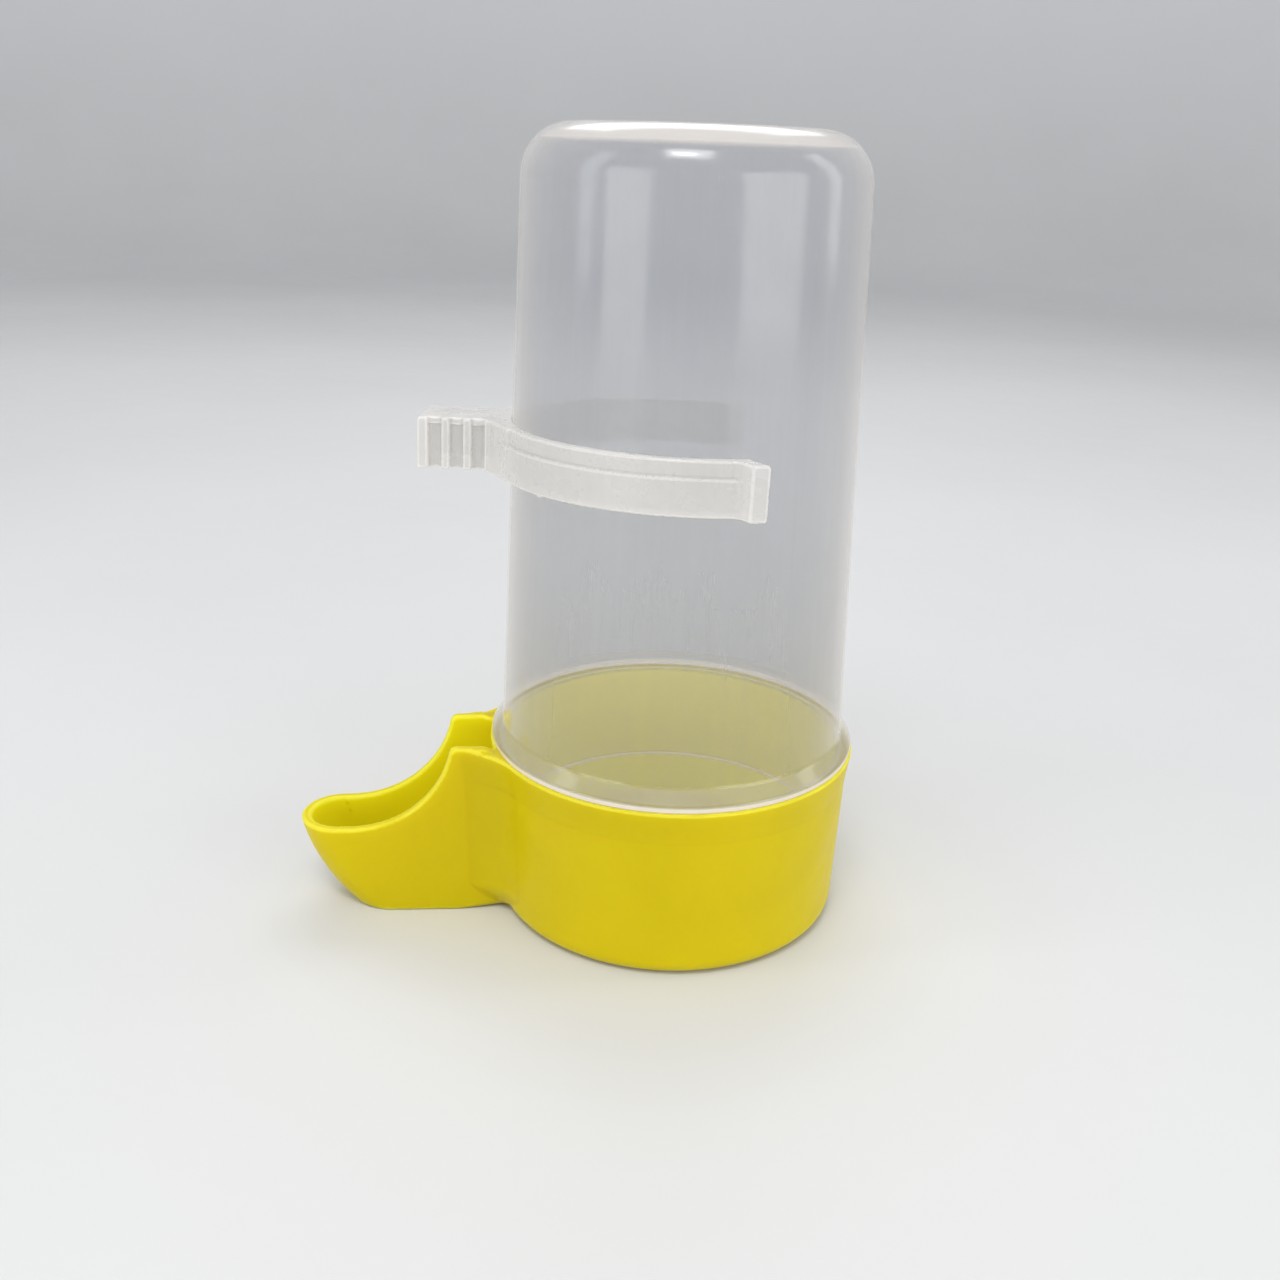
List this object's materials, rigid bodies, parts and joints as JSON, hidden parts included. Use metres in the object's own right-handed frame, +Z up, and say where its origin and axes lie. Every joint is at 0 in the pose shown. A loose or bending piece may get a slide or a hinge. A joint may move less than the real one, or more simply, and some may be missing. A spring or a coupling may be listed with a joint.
{
  "type": "cage bird drinker",
  "caption": "Gravity drinker for small cage birds: upside-down translucent reservoir bottle in a cup with a spout, with a springy clip for cage wires.",
  "frame": {"origin": "centre of the cup's round underside, on the bottle's axis", "axes": "+Z up the bottle's axis, -X out along the drinking spout, the clip's nose turned 8 degrees from -X towards +Y"},
  "size_m": [0.082, 0.055, 0.1105],
  "materials": {
    "cup_plastic": "slightly translucent moulded polypropylene, satin gloss",
    "bottle_plastic": "natural milky polypropylene, polished outside",
    "clip_plastic": "natural milky polypropylene, satin"
  },
  "bodies": {
    "cup": {"base_cup": "cup_plastic"},
    "reservoir": {"bottle": "bottle_plastic"},
    "clip": {"cage_clip": "clip_plastic"}
  },
  "joints": [
    {"name": "bottle_lift", "type": "slide", "parent": "cup", "child": "reservoir", "axis": [0, 0, 1], "range_m": [0, 0.03]},
    {"name": "clip_turn", "type": "hinge", "parent": "reservoir", "child": "clip", "pos_m": [0, 0, 0.0688], "axis": [0, 0, 1], "continuous": true}
  ]
}
